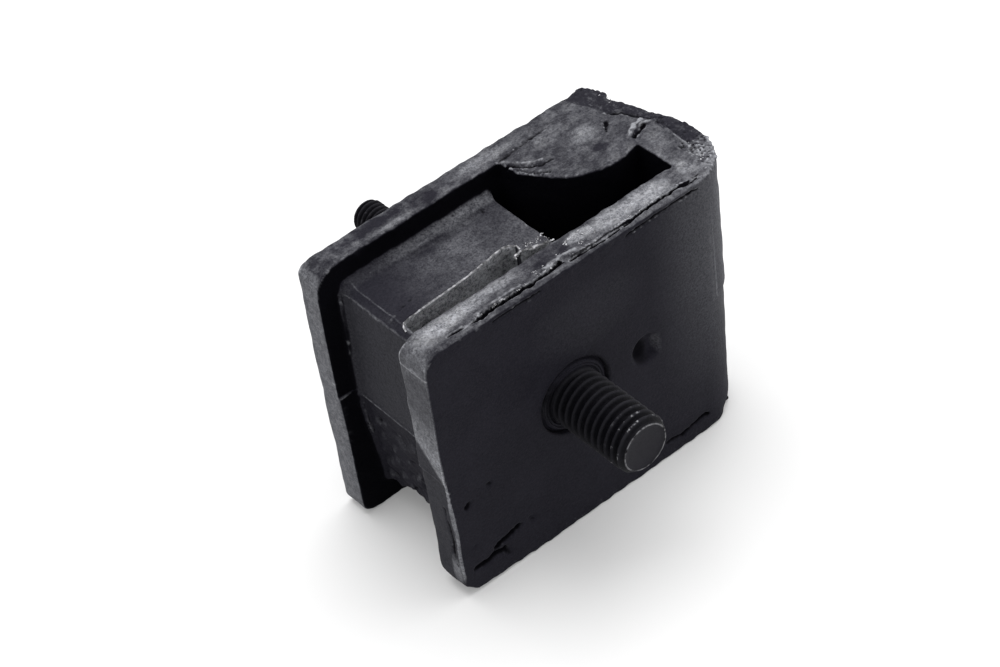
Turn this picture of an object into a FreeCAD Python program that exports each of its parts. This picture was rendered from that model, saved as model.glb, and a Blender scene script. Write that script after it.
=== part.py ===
import FreeCAD, Part
import math
import os
import Sketcher

# A bonded rubber transmission mount: two steel plates inside one rubber moulding, with a
# threaded stud standing out of each face. All sizes are in millimetres.
# In the layout X runs along the plates from their free ends, Y from the front face to the
# back face, and Z up from the edge that the mount stands on.

doc = FreeCAD.newDocument("transmission_mount")
sheet = doc.addObject("Spreadsheet::Sheet", "Sizes")

SIZES = {
    # the two rubber covered walls
    "plate_length": "57.0",
    "plate_height": "52.3",
    "mount_depth": "30.7",
    "front_wall": "6.2",
    "rear_wall": "4.3",
    "free_corner_round": "3.0",
    # the mould parts at this height, and both studs lie on that line
    "parting_height": "26.5",
    # the closed end, which stands out past the plates
    "end_reach": "5.6",
    "end_round": "10.0",
    "end_crest": "13.5",
    # the open window, and the bump stop that reaches into it
    "window_end": "54.3",
    "window_corner": "1.0",
    "bump_root": "36.4",
    "bump_shoulder": "39.9",
    "bump_face": "13.8",
    "bump_round": "8.0",
    # the neck that carries the load between the walls, widest where the mould parts
    "neck_recess": "4.8",
    "neck_start": "4.3",
    "neck_end": "34.8",
    "neck_draft": "1.0",
    # the slot in the neck's upper and lower side, beside the front wall
    "slot_start": "6.8",
    "slot_step": "29.2",
    "slot_end": "32.8",
    "slot_face": "13.9",
    "slot_end_face": "11.0",
    "slot_depth": "12.0",
    "slot_corner": "1.4",
    # the steel plates inside the rubber
    "front_skin": "1.6",
    "front_plate_thickness": "3.0",
    "flange_reach": "13.0",
    "rear_skin": "0.9",
    "rear_plate_thickness": "2.5",
    "edge_skin": "1.6",
    # the front stud, a 10 mm thread
    "front_stud_x": "26.6",
    "front_stud_radius": "5.0",
    "front_stud_length": "15.4",
    "front_stud_chamfer": "0.5",
    "front_collar_radius": "6.0",
    "front_seat_radius": "6.6",
    # the rear stud, a 6 mm thread
    "rear_stud_x": "30.5",
    "rear_stud_radius": "3.0",
    "rear_stud_length": "27.4",
    "rear_stud_chamfer": "0.6",
    "rear_collar_radius": "3.8",
    "rear_seat_radius": "4.2",
    # the depth of the shallow seat round each stud, whose bottom is the stud's collar
    "front_seat_depth": "0.8",
    "rear_seat_depth": "0.5",
    # the hole that a locating pin of the mould leaves in the front skin
    "pin_hole_x": "41.2",
    "pin_hole_radius": "2.6",
}


class Size:
    # a length together with the sheet expression that it comes from
    def __init__(self, value, text):
        self.value = value
        self.text = text

    def joined(self, other, sign, value):
        text = other.text if isinstance(other, Size) else str(other)
        return Size(value, f"({self.text} {sign} {text})")

    def __add__(self, other):
        return self.joined(other, "+", self.value + number(other))

    def __sub__(self, other):
        return self.joined(other, "-", self.value - number(other))

    def __truediv__(self, other):
        return self.joined(other, "/", self.value / number(other))

    def __neg__(self):
        return Size(-self.value, f"(0 - {self.text})")


def number(item):
    return item.value if isinstance(item, Size) else float(item)


class Sizes:
    pass


size = Sizes()
for row, (alias, text) in enumerate(SIZES.items(), 1):
    sheet.set(f"A{row}", alias)
    sheet.set(f"B{row}", text)
    sheet.setAlias(f"B{row}", alias)
    setattr(size, alias, Size(float(text), f"Sizes.{alias}"))
doc.recompute()

zero = Size(0.0, "0")
end_face = size.plate_length + size.end_reach
rear_inner = size.mount_depth - size.rear_wall
neck_top = size.plate_height - size.neck_recess
steel_top = size.plate_height - size.edge_skin

# The row's origin is the middle of the mount's base, with the studs counted in.
shift_x = -end_face / 2
shift_y = (size.front_stud_length - size.mount_depth - size.rear_stud_length) / 2


def bind(item, name, length):
    item.setExpression(name, length.text)


def new_body(label, x=zero, y=zero, z=zero):
    body = doc.addObject("PartDesign::Body", label)
    body.Label = label
    bind(body, "Placement.Base.x", shift_x + x)
    bind(body, "Placement.Base.y", shift_y + y)
    bind(body, "Placement.Base.z", z)
    return body


def new_sketch(body, name, role, offset=zero):
    # XZ_Plane faces -Y, so an offset along Y is given as a negative one there
    plane = [item for item in body.Origin.OriginFeatures if item.Role == role][0]
    sketch = body.newObject("Sketcher::SketchObject", name)
    sketch.AttachmentSupport = [(plane, "")]
    sketch.MapMode = "FlatFace"
    bind(sketch, "AttachmentOffset.Base.z", offset)
    return sketch


def hold(sketch, length, kind, *where):
    # one dimension of the sketch, tied to the sheet
    index = sketch.addConstraint(Sketcher.Constraint(kind, *where, length.value))
    bind(sketch, f"Constraints[{index}]", length)


def place(sketch, corner, item, point):
    hold(sketch, corner[0], "DistanceX", -1, 1, item, point)
    hold(sketch, corner[1], "DistanceY", -1, 1, item, point)


def round_corner(sketch, before, after, corner, spot, ends, radius):
    # an arc tangent to both sides, whose sides still meet in the stated corner
    back, ahead = (ends[0] - spot).normalize(), (ends[1] - spot).normalize()
    half = back.getAngle(ahead) / 2
    middle = spot + (back + ahead).normalize() * (radius.value / math.sin(half))
    turns_left = back.cross(ahead).z < 0
    spokes = [ends[0] - middle, ends[1] - middle]
    angles = [math.atan2(spoke.y, spoke.x) for spoke in (spokes if turns_left else spokes[::-1])]
    if angles[1] < angles[0]:
        angles[1] += 2 * math.pi
    circle = Part.Circle(middle, FreeCAD.Vector(0, 0, 1), radius.value)
    arc = sketch.addGeometry(Part.ArcOfCircle(circle, *angles), False)
    first, last = (1, 2) if turns_left else (2, 1)
    sketch.addConstraint(Sketcher.Constraint("Tangent", before, 2, arc, first))
    sketch.addConstraint(Sketcher.Constraint("Tangent", arc, last, after, 1))
    hold(sketch, radius, "Radius", arc)
    mark = sketch.addGeometry(Part.Point(spot), True)
    sketch.addConstraint(Sketcher.Constraint("PointOnObject", mark, 1, before))
    sketch.addConstraint(Sketcher.Constraint("PointOnObject", mark, 1, after))
    place(sketch, corner, mark, 1)


def draw_outline(sketch, corners):
    # a closed outline, counter-clockwise; a corner is (x, y) or (x, y, radius)
    spots = [FreeCAD.Vector(corner[0].value, corner[1].value, 0) for corner in corners]
    starts, ends = [], []
    for index, corner in enumerate(corners):
        spot, count = spots[index], len(corners)
        back = (spots[index - 1] - spot).normalize()
        ahead = (spots[(index + 1) % count] - spot).normalize()
        reach = corner[2].value / math.tan(back.getAngle(ahead) / 2) if len(corner) == 3 else 0
        ends.append(spot + back * reach)
        starts.append(spot + ahead * reach)
    sides = [
        sketch.addGeometry(Part.LineSegment(starts[index], ends[(index + 1) % len(ends)]), False)
        for index in range(len(corners))
    ]
    for index, corner in enumerate(corners):
        before, after = sides[index - 1], sides[index]
        if len(corner) == 3:
            near = (ends[index], starts[index])
            round_corner(sketch, before, after, corner, spots[index], near, corner[2])
        else:
            sketch.addConstraint(Sketcher.Constraint("Coincident", before, 2, after, 1))
            place(sketch, corner, after, 1)


def draw_circle(sketch, x, y, radius):
    middle = FreeCAD.Vector(x.value, y.value, 0)
    circle = sketch.addGeometry(Part.Circle(middle, FreeCAD.Vector(0, 0, 1), radius.value), False)
    place(sketch, (x, y), circle, 3)
    hold(sketch, radius, "Radius", circle)


def add_feature(body, kind, name, sketch, length, reverse=False):
    feature = body.newObject(f"PartDesign::{kind}", name)
    feature.Profile = sketch
    feature.Reversed = reverse
    bind(feature, "Length", length)
    sketch.Visibility = False
    doc.recompute()
    return feature


same_spot = 0.01  # points nearer to each other than this are one


def edges_along_y(shape, x, heights):
    # the edges that run along Y at this x, at one of the given heights
    names = []
    for index, edge in enumerate(shape.Edges, 1):
        ends = [vertex.Point for vertex in edge.Vertexes]
        level = ends[0].z
        along_y = all(
            abs(end.x - x.value) < same_spot and abs(end.z - level) < same_spot for end in ends)
        if along_y and any(abs(level - height.value) < same_spot for height in heights):
            names.append(f"Edge{index}")
    return names


def round_edges(body, base, name, x, heights):
    fillet = body.newObject("PartDesign::Fillet", name)
    fillet.Base = (base, edges_along_y(base.Shape, x, heights))
    bind(fillet, "Radius", size.free_corner_round)
    doc.recompute()


# The rubber as it leaves the mould, still solid where the steel lies.
rubber = new_body("rubber_solid")
walls = new_sketch(rubber, "walls_outline", "XY_Plane")
draw_outline(walls, [
    (zero, zero),
    (end_face, zero, size.end_round),
    (end_face, size.end_crest),
    (size.plate_length, size.mount_depth),
    (zero, size.mount_depth),
    (zero, rear_inner),
    (size.bump_root, rear_inner),
    (size.bump_shoulder, size.bump_face, size.bump_round),
    (size.window_end, size.bump_face, size.window_corner),
    (size.window_end, size.front_wall, size.window_corner),
    (zero, size.front_wall),
])
walls_pad = add_feature(rubber, "Pad", "walls", walls, size.plate_height)
round_edges(rubber, walls_pad, "free_corners", zero, (zero, size.plate_height))

neck = new_sketch(rubber, "neck_outline", "XZ_Plane", -size.front_wall)
draw_outline(neck, [
    (size.neck_start + size.neck_draft, size.neck_recess),
    (size.neck_end - size.neck_draft, size.neck_recess),
    (size.neck_end, size.parting_height),
    (size.neck_end - size.neck_draft, neck_top),
    (size.neck_start + size.neck_draft, neck_top),
    (size.neck_start, size.parting_height),
])
add_feature(rubber, "Pad", "neck", neck, rear_inner - size.front_wall, reverse=True)

for name, level, upward in (("upper_slot", neck_top, False), ("lower_slot", size.neck_recess, True)):
    slot = new_sketch(rubber, f"{name}_outline", "XY_Plane", level)
    draw_outline(slot, [
        (size.slot_start, size.front_wall),
        (size.slot_end, size.front_wall),
        (size.slot_end, size.slot_end_face),
        (size.slot_step, size.slot_end_face),
        (size.slot_step, size.slot_face, size.slot_corner),
        (size.slot_start, size.slot_face, size.slot_corner),
    ])
    add_feature(rubber, "Pocket", name, slot, size.slot_depth, reverse=upward)

front_seat = new_sketch(rubber, "front_seat_outline", "XZ_Plane")
draw_circle(front_seat, size.front_stud_x, size.parting_height, size.front_seat_radius)
add_feature(rubber, "Pocket", "front_seat", front_seat, size.front_seat_depth)

rear_seat = new_sketch(rubber, "rear_seat_outline", "XZ_Plane", -size.mount_depth)
draw_circle(rear_seat, size.rear_stud_x, size.parting_height, size.rear_seat_radius)
add_feature(rubber, "Pocket", "rear_seat", rear_seat, size.rear_seat_depth, reverse=True)

pin_hole = new_sketch(rubber, "pin_hole_outline", "XZ_Plane")
draw_circle(pin_hole, size.pin_hole_x, size.parting_height, size.pin_hole_radius)
add_feature(rubber, "Pocket", "pin_hole", pin_hole, size.front_skin)


# The front plate, bent round inside the closed end.
front_plate = new_body("front_plate", z=size.edge_skin)
outer_bend = size.end_round - size.front_skin
flange_outside = end_face - size.front_skin
flange_inside = flange_outside - size.front_plate_thickness
front_steel_inner = size.front_skin + size.front_plate_thickness
plate_bend = new_sketch(front_plate, "bend_outline", "XY_Plane")
draw_outline(plate_bend, [
    (size.edge_skin, size.front_skin),
    (flange_outside, size.front_skin, outer_bend),
    (flange_outside, size.flange_reach),
    (flange_inside, size.flange_reach),
    (flange_inside, front_steel_inner, outer_bend - size.front_plate_thickness),
    (size.edge_skin, front_steel_inner),
])
steel_height = steel_top - size.edge_skin
bend_pad = add_feature(front_plate, "Pad", "bent_strip", plate_bend, steel_height)
round_edges(front_plate, bend_pad, "plate_corners", size.edge_skin, (zero, steel_height))
stud_height = size.parting_height - size.edge_skin
front_hole = new_sketch(front_plate, "stud_hole_outline", "XZ_Plane")
draw_circle(front_hole, size.front_stud_x, stud_height, size.front_collar_radius)
add_feature(front_plate, "Pocket", "stud_hole", front_hole, front_steel_inner)

# The rear plate, flat.
rear_plate = new_body("rear_plate", y=rear_inner, z=size.edge_skin)
rear_steel_outer = size.rear_wall - size.rear_skin
rear_steel_inner = rear_steel_outer - size.rear_plate_thickness
strip = new_sketch(rear_plate, "strip_outline", "XZ_Plane", -rear_steel_inner)
strip_end = size.plate_length - size.edge_skin
draw_outline(strip, [
    (size.edge_skin, zero, size.free_corner_round),
    (strip_end, zero, size.free_corner_round),
    (strip_end, steel_height, size.free_corner_round),
    (size.edge_skin, steel_height, size.free_corner_round),
])
add_feature(rear_plate, "Pad", "flat_strip", strip, size.rear_plate_thickness, reverse=True)
rear_hole = new_sketch(rear_plate, "stud_hole_outline", "XZ_Plane")
draw_circle(rear_hole, size.rear_stud_x, stud_height, size.rear_collar_radius)
add_feature(rear_plate, "Pocket", "stud_hole", rear_hole, rear_steel_outer)


def new_stud(label, x, y, to_front, radius, length, chamfer, collar_radius, seat, root):
    # turned about its own axis: the thread's outside, then the collar held in the plate;
    # length counts outward from the wall's face, seat and root count inward
    def outward(reach):
        return -reach if to_front else reach

    body = new_body(label, x, y, size.parting_height)
    sketch = new_sketch(body, "turned_outline", "XY_Plane")
    corners = [
        (zero, outward(length)),
        (radius - chamfer, outward(length)),
        (radius, outward(length - chamfer)),
        (radius, outward(-seat)),
        (collar_radius, outward(-seat)),
        (collar_radius, outward(-root)),
        (zero, outward(-root)),
    ]
    draw_outline(sketch, corners if to_front else corners[::-1])
    turned = body.newObject("PartDesign::Revolution", "turned")
    turned.Profile = sketch
    turned.ReferenceAxis = (sketch, ["V_Axis"])
    turned.Angle = 360
    sketch.Visibility = False
    doc.recompute()
    return body


front_stud = new_stud(
    "front_stud", size.front_stud_x, zero, True, size.front_stud_radius,
    size.front_stud_length, size.front_stud_chamfer,
    size.front_collar_radius, size.front_seat_depth, front_steel_inner)
rear_stud = new_stud(
    "rear_stud", size.rear_stud_x, size.mount_depth, False, size.rear_stud_radius,
    size.rear_stud_length, size.rear_stud_chamfer,
    size.rear_collar_radius, size.rear_seat_depth, size.rear_wall - rear_steel_inner)

# The finished rubber leaves room for exactly the steel that it is bonded to.
steel = doc.addObject("Part::MultiFuse", "steel_pieces")
steel.Shapes = [front_plate, rear_plate, front_stud, rear_stud]
rubber_body = doc.addObject("Part::Cut", "rubber_body")
rubber_body.Label = "rubber_body"
rubber_body.Base = rubber
rubber_body.Tool = steel
doc.recompute()

pieces = [rubber_body, front_plate, rear_plate, front_stud, rear_stud]
for item in doc.Objects:
    if "Invalid" in item.State or "Error" in item.State:
        raise RuntimeError(f"{item.Label} did not build: {item.State}")
for piece in pieces:
    if piece.Shape.isNull() or not piece.Shape.isValid():
        raise RuntimeError(f"{piece.Label} has no valid shape")

os.makedirs("parts", exist_ok=True)
for piece in pieces:
    piece.Shape.exportStep(f"parts/{piece.Label}.step")
    print(f"{piece.Label}: {len(piece.Shape.Solids)} solid, {piece.Shape.Volume / 1000:.3f} cm3")
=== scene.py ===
import math

import bpy
import numpy as np
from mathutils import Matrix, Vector


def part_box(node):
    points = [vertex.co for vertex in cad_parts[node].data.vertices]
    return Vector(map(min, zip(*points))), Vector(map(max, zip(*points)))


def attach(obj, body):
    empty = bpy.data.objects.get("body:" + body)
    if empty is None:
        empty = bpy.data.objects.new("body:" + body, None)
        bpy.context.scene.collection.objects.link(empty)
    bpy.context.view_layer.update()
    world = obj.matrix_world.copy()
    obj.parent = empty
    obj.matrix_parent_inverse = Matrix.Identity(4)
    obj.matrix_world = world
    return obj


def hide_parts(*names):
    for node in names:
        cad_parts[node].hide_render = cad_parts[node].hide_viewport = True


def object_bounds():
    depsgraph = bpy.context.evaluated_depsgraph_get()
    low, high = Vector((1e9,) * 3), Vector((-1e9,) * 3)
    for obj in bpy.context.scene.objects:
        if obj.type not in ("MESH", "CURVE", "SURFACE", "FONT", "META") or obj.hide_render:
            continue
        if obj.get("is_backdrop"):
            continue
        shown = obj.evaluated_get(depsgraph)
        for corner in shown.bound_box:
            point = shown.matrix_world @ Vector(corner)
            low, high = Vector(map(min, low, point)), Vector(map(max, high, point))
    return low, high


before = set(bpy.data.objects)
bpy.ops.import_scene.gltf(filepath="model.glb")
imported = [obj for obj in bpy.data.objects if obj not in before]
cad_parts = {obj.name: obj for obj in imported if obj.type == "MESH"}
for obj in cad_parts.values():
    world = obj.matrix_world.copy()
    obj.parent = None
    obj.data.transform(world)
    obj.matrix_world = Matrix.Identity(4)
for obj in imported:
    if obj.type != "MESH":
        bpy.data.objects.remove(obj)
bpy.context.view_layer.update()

# Shapes are worked out in millimetres from one corner of the mount: x runs from the walls'
# free ends, y from the front face, z up from the edge that it stands on.
corner = np.array(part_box("rubber_body")[0]) * 1000
partingHeight = 26.5        # where the mould's halves met, and both studs lie
frontStudX, rearStudX = 26.6, 30.5
print("frame loaded")


# meshes

def newPiece(name, points, faces, material):
    mesh = bpy.data.meshes.new(name)
    mesh.from_pydata(((np.asarray(points) + corner) / 1000).tolist(), [], faces)
    mesh.polygons.foreach_set("use_smooth", [True] * len(mesh.polygons))
    mesh.materials.append(material)
    piece = bpy.data.objects.new(name, mesh)
    bpy.context.scene.collection.objects.link(piece)
    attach(piece, "root")
    return piece


def applyModifiers(piece):
    old = piece.data
    graph = bpy.context.evaluated_depsgraph_get()
    new = bpy.data.meshes.new_from_object(piece.evaluated_get(graph))
    piece.modifiers.clear()
    piece.data = new
    new.name = old.name
    bpy.data.meshes.remove(old)


def ripple(x, y, z, size, seed):
    # smooth seeded unevenness of about -1 to 1, with bumps of about this size
    rng = np.random.default_rng(seed)
    total = 0
    for turn in range(9):
        way = rng.normal(size=3)
        way *= 2 * math.pi / size * rng.uniform(0.6, 1.5) / np.linalg.norm(way)
        total = total + np.sin(x * way[0] + y * way[1] + z * way[2] + rng.uniform(0, 6.28))
    return total / 4


def fade(value, low, high):
    # 0 below low, 1 above high, smooth between; low may be the greater
    t = np.clip((value - low) / (high - low), 0, 1)
    return t * t * (3 - 2 * t)


# solid shapes as distances: negative inside, in mm

def roundedAnd(a, b, radius):
    rim = np.hypot(np.maximum(a + radius, 0), np.maximum(b + radius, 0))
    return np.minimum(np.maximum(a, b), -radius) + rim


def roundedOr(a, b, radius):
    rim = np.hypot(np.maximum(radius - a, 0), np.maximum(radius - b, 0))
    return np.maximum(np.minimum(a, b), radius) - rim


def bend(corners, steps=14):
    # an outline whose corners (x, y, radius) are rounded
    points = []
    for index, (x, y, radius) in enumerate(corners):
        here = Vector((x, y))
        back = (Vector(corners[index - 1][:2]) - here).normalized()
        ahead = (Vector(corners[(index + 1) % len(corners)][:2]) - here).normalized()
        if radius == 0:
            points.append((x, y))
            continue
        half = back.angle(ahead) / 2
        middle = here + (back + ahead).normalized() * radius / math.sin(half)
        reach = radius / math.tan(half)
        first, last = here + back * reach - middle, here + ahead * reach - middle
        for step in range(steps + 1):
            points.append(tuple(middle + first.slerp(last, step / steps).normalized() * radius))
    return points


def outline(x, y, points):
    # distance to a closed outline, negative inside
    nearest, inside = np.inf, False
    for (x0, y0), (x1, y1) in zip(points, points[1:] + points[:1]):
        runX, runY = x1 - x0, y1 - y0
        fromX, fromY = x - x0, y - y0
        along = np.clip((fromX * runX + fromY * runY) / (runX ** 2 + runY ** 2 + 1e-12), 0, 1)
        nearest = np.minimum(nearest, (fromX - runX * along) ** 2 + (fromY - runY * along) ** 2)
        side = runX * fromY - runY * fromX
        rising = (y0 <= y) & (y < y1) & (side > 0)
        falling = (y1 <= y) & (y < y0) & (side < 0)
        inside = inside ^ (rising | falling)
    return np.sqrt(nearest) * np.where(inside, -1, 1)


def chart(corners, high, step=0.12):
    # the distances to an outline on a fine sheet, read back between its marks
    points, low = bend(corners), -2.0
    across, along = np.arange(low, high[0], step), np.arange(low, high[1], step)
    sheet = outline(across[:, None], along[None, :], points).astype(np.float32)

    def distance(x, y):
        u = np.clip((x - low) / step, 0, len(across) - 1.01)
        v = np.clip((y - low) / step, 0, len(along) - 1.01)
        i, j = u.astype(np.int32), v.astype(np.int32)
        u, v = u - i, v - j
        near = sheet[i, j] * (1 - v) + sheet[i, j + 1] * v
        far = sheet[i + 1, j] * (1 - v) + sheet[i + 1, j + 1] * v
        return near * (1 - u) + far * u

    return distance


def score(x, y, z, value, path, into, width, depth, seed):
    # a cut straight down one axis (into) along a path of (x, y, z) points, or where depth is
    # below 0 a ridge, which is round where it has no axis
    path = np.array(path, float)
    reach = 3 * width + 0.5
    low, high = path.min(0) - reach, path.max(0) + reach
    if into is not None:
        low[into] -= 1.5
        high[into] += 1.5
    near = (x > low[0]) & (x < high[0]) & (y > low[1]) & (y < high[1]) & (z > low[2]) & (z < high[2])
    spots = np.stack([x[near], y[near], z[near]], 1)
    if not len(spots):
        return value
    if into is not None:
        path[:, into] = 0
        spots[:, into] = 0
    gap = np.full(len(spots), 99.0)
    for start, end in zip(path[:-1], path[1:]):
        run = end - start
        along = np.clip((spots - start) @ run / (run @ run), 0, 1)
        gap = np.minimum(gap, np.linalg.norm(spots - start - along[:, None] * run, axis=1))
    gap = gap + 0.4 * min(width, 0.35) * ripple(*spots.T, 1.1, seed)
    strength = np.clip(1 + 0.3 * ripple(*spots.T, 3, seed + 1), 0.5, 1.3)
    value = value.copy()
    value[near] += depth * strength * np.exp(-(gap / width) ** 2)
    return value


def gridLines(*runs):
    # grid lines along one axis; each run is (from, to, spacing)
    lines = [np.linspace(a, b, round((b - a) / step), endpoint=False) for a, b, step in runs]
    return np.concatenate(lines + [[runs[-1][1]]])


def netSurface(field, axes):
    # one point in each grid cell that the surface crosses, joined round the grid's edges
    inside = field < 0
    size = [len(lines) - 1 for lines in axes]
    filled = np.zeros(size, np.int8)
    for i, j, k in np.ndindex(2, 2, 2):
        filled += inside[i:i + size[0], j:j + size[1], k:k + size[2]]
    crossed = (filled > 0) & (filled < 8)
    cells = np.argwhere(crossed)
    number = np.full(crossed.shape, -1)
    number[crossed] = np.arange(len(cells))
    total, hits = np.zeros((len(cells), 3)), np.zeros(len(cells))
    for axis in range(3):
        first, second = [other for other in range(3) if other != axis]
        for u, v in np.ndindex(2, 2):
            low = cells.copy()
            low[:, first] += u
            low[:, second] += v
            high = low.copy()
            high[:, axis] += 1
            a, b = field[tuple(low.T)], field[tuple(high.T)]
            cut = (a < 0) != (b < 0)
            spot = np.stack([axes[d][low[cut, d]] for d in range(3)], 1)
            span = axes[axis][high[cut, axis]] - axes[axis][low[cut, axis]]
            spot[:, axis] += a[cut] / (a[cut] - b[cut]) * span
            total[cut] += spot
            hits += cut
    faces = []
    for axis in range(3):
        b, c = (axis + 1) % 3, (axis + 2) % 3
        here, there = [slice(1, -1)] * 3, [slice(1, -1)] * 3
        here[axis], there[axis] = slice(0, -1), slice(1, None)
        here, there = inside[tuple(here)], inside[tuple(there)]
        for outward, order in ((here & ~there, 1), (there & ~here, -1)):
            edge = np.argwhere(outward)
            edge[:, b] += 1
            edge[:, c] += 1
            quad = []
            for stepB, stepC in ((-1, -1), (0, -1), (0, 0), (-1, 0)):
                cell = edge.copy()
                cell[:, b] += stepB
                cell[:, c] += stepC
                quad.append(number[tuple(cell.T)])
            faces.append(np.stack(quad[::order], 1))
    return total / hits[:, None], np.concatenate(faces)


def pointNormals(points, faces):
    across = np.cross(points[faces[:, 2]] - points[faces[:, 0]], points[faces[:, 3]] - points[faces[:, 1]])
    total = np.zeros_like(points)
    for step in range(4):
        np.add.at(total, faces[:, step], across)
    return total / (np.linalg.norm(total, axis=1)[:, None] + 1e-12)


def readPoints(mesh, what):
    values = np.zeros(len(mesh.vertices) * 3)
    mesh.vertices.foreach_get(what, values)
    return values.reshape(-1, 3)


def bendAtPoints(mesh):
    # how far each point stands out from its neighbours, as a share of the way to them
    count = len(mesh.vertices)
    spots, normals = readPoints(mesh, "co"), readPoints(mesh, "normal")
    ends = np.zeros(len(mesh.edges) * 2, np.int32)
    mesh.edges.foreach_get("vertices", ends)
    ends = ends.reshape(-1, 2)
    run = spots[ends[:, 1]] - spots[ends[:, 0]]
    length = np.linalg.norm(run, axis=1)
    rise, reach = np.zeros(count), np.zeros(count)
    for end, sign in ((0, -1), (1, 1)):
        np.add.at(rise, ends[:, end], sign * (run * normals[ends[:, end]]).sum(1))
        np.add.at(reach, ends[:, end], length)
    return rise / (reach + 1e-12)


# materials

class Wire:
    # a shader socket that can stand in a Python expression
    def __init__(self, shading, socket):
        self.shading = shading
        self.socket = socket

    def combined(self, operation, first, second):
        return self.shading.node("Math", {"operation": operation}, {0: first, 1: second})

    def __add__(self, other):
        return self.combined("ADD", self, other)

    def __sub__(self, other):
        return self.combined("SUBTRACT", self, other)

    def __rsub__(self, other):
        return self.combined("SUBTRACT", other, self)

    def __mul__(self, other):
        return self.combined("MULTIPLY", self, other)

    def __truediv__(self, other):
        return self.combined("DIVIDE", self, other)

    def __rtruediv__(self, other):
        return self.combined("DIVIDE", other, self)

    def __pow__(self, other):
        return self.combined("POWER", self, other)

    __radd__ = __add__
    __rmul__ = __mul__


class Shading:
    # the nodes of a material or of the world
    def __init__(self, owner, end):
        self.owner = owner
        owner.use_nodes = True
        self.tree = owner.node_tree
        self.tree.nodes.clear()
        self.end = self.tree.nodes.new(end)

    def readPlace(self):
        spot = self.node("TexCoord", output="Object")
        place = self.node("VectorMath", {"operation": "MULTIPLY_ADD"},
                          {0: spot, 1: (1000, 1000, 1000), 2: tuple(-corner)})
        self.place = place        # millimetres, as the shapes are
        self.x, self.y, self.z = [self.node("SeparateXYZ", {}, {0: place}, axis) for axis in "XYZ"]
        normal = self.node("NewGeometry", output="Normal")
        self.nx, self.ny, self.nz = [self.node("SeparateXYZ", {}, {0: normal}, axis) for axis in "XYZ"]

    def node(self, kind, settings={}, values={}, output=0):
        node = self.tree.nodes.new("ShaderNode" + kind)
        for name, setting in settings.items():
            setattr(node, name, setting)
        for key, value in values.items():
            if isinstance(value, Wire):
                self.tree.links.new(value.socket, node.inputs[key])
            else:
                node.inputs[key].default_value = value
        return Wire(self, node.outputs[output])

    def fade(self, value, low, high):
        return self.node("MapRange", {"interpolation_type": "SMOOTHSTEP"},
                         {"Value": value, "From Min": low, "From Max": high})

    def greater(self, first, second):
        return self.node("Math", {"operation": "MAXIMUM"}, {0: first, 1: second})

    def near(self, value, at, reach):
        # 1 along a line, 0 past its reach
        off = value - at
        return self.fade(off * off, reach ** 2, (0.3 * reach) ** 2)

    def between(self, value, low, high, soft):
        return self.fade(value, low - soft, low + soft) * self.fade(value, high + soft, high - soft)

    def noise(self, size, detail=3, rough=0.5, stretch=(1, 1, 1), seed=0):
        spot = self.node("VectorMath", {"operation": "MULTIPLY"}, {0: self.place, 1: stretch})
        values = {"Vector": spot, "W": seed, "Scale": 1 / size, "Detail": detail, "Roughness": rough}
        return self.node("TexNoise", {"noise_dimensions": "4D"}, values)

    def blob(self, a, b, spot, reach, rough):
        # 1 in the middle of a patch with an uneven edge, 0 outside
        u, v = (a - spot[0]) / reach[0], (b - spot[1]) / reach[1]
        return self.fade(u * u + v * v + rough * 1.6, 2.0, 0.8)

    def mixed(self, factor, first, second):
        first, second = [item if isinstance(item, Wire) else (*item, 1) for item in (first, second)]
        return self.node("Mix", {"data_type": "RGBA"}, {0: factor, 6: first, 7: second}, 2)

    def bump(self, height, distance, under=None):
        # distance in mm
        values = {"Height": height, "Distance": distance / 1000, "Strength": 1}
        if under:
            values["Normal"] = under
        return self.node("Bump", {}, values)

    def surface(self, colour, roughness, gloss=0.5, **others):
        sockets = {"Base Color": colour, "Roughness": roughness, "Specular IOR Level": gloss, **others}
        return self.node("BsdfPrincipled", {}, sockets)

    def seen(self):
        # 1 where the camera looks, also by way of gloss or glass
        camera, glossy, through = [self.node("LightPath", output="Is " + kind + " Ray")
                                   for kind in ("Camera", "Glossy", "Transmission")]
        return self.greater(self.greater(camera, glossy), through)

    def finish(self, shader):
        self.tree.links.new(shader.socket, self.end.inputs["Surface"])
        return self.owner


def newShading(name):
    shading = Shading(bpy.data.materials.new(name), "ShaderNodeOutputMaterial")
    shading.readPlace()
    return shading


rubberFinish = {
    "black": ((0.0045, 0.0042, 0.0082), (0.0142, 0.0135, 0.0196)),
    "dustAndPaintedSheen": (0.50, 0.51, 0.545),
    # the near blacks of painted shade, for creases and cuts and for the hollows
    "creaseShade": (0.0015, 0.0015, 0.002),
    "inner": (0.0018, 0.0017, 0.003, 1),
    "bumps": {"grain": 0.08, "scuff": 0.05, "pores": 0.035},        # mm
    # pale patches on the tops, of dust and painted sheen: place, reach and strength, where below 0 is a
    # dark one
    "patches": [
        (3.6, 3.6, 4.0, 2.6, 0.17), (8.0, 4.2, 4.5, 1.9, 0.30), (13.5, 4.6, 4.5, 1.6, 0.20),
        (18.5, 4.8, 3.0, 1.2, 0.16), (26.5, 4.0, 5.0, 1.9, -0.05), (34.0, 4.4, 3.0, 1.3, 0.30),
        (40.0, 3.9, 4.5, 2.1, 0.29), (47.0, 3.7, 5.0, 2.3, 0.27), (55.2, 4.4, 1.6, 1.6, 0.14),
        (53.5, 9.0, 2.0, 3.5, 0.05), (50.0, 21.6, 3.0, 2.2, 0.15), (46.0, 25.5, 4.0, 1.8, 0.06),
        (57.0, 12.5, 1.6, 3.0, 0.08), (50.2, 17.4, 2.2, 1.5, -0.12), (36.0, 28.6, 8.0, 1.3, 0.14),
        (24.0, 28.4, 4.0, 1.6, -0.06), (16.0, 27.2, 5.0, 0.7, 0.11), (13.0, 29.2, 7.0, 1.4, -0.10),
        (28.0, 1.0, 5.0, 0.9, 0.06), (5.0, 28.6, 5.0, 2.0, -0.04)],
}


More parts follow.
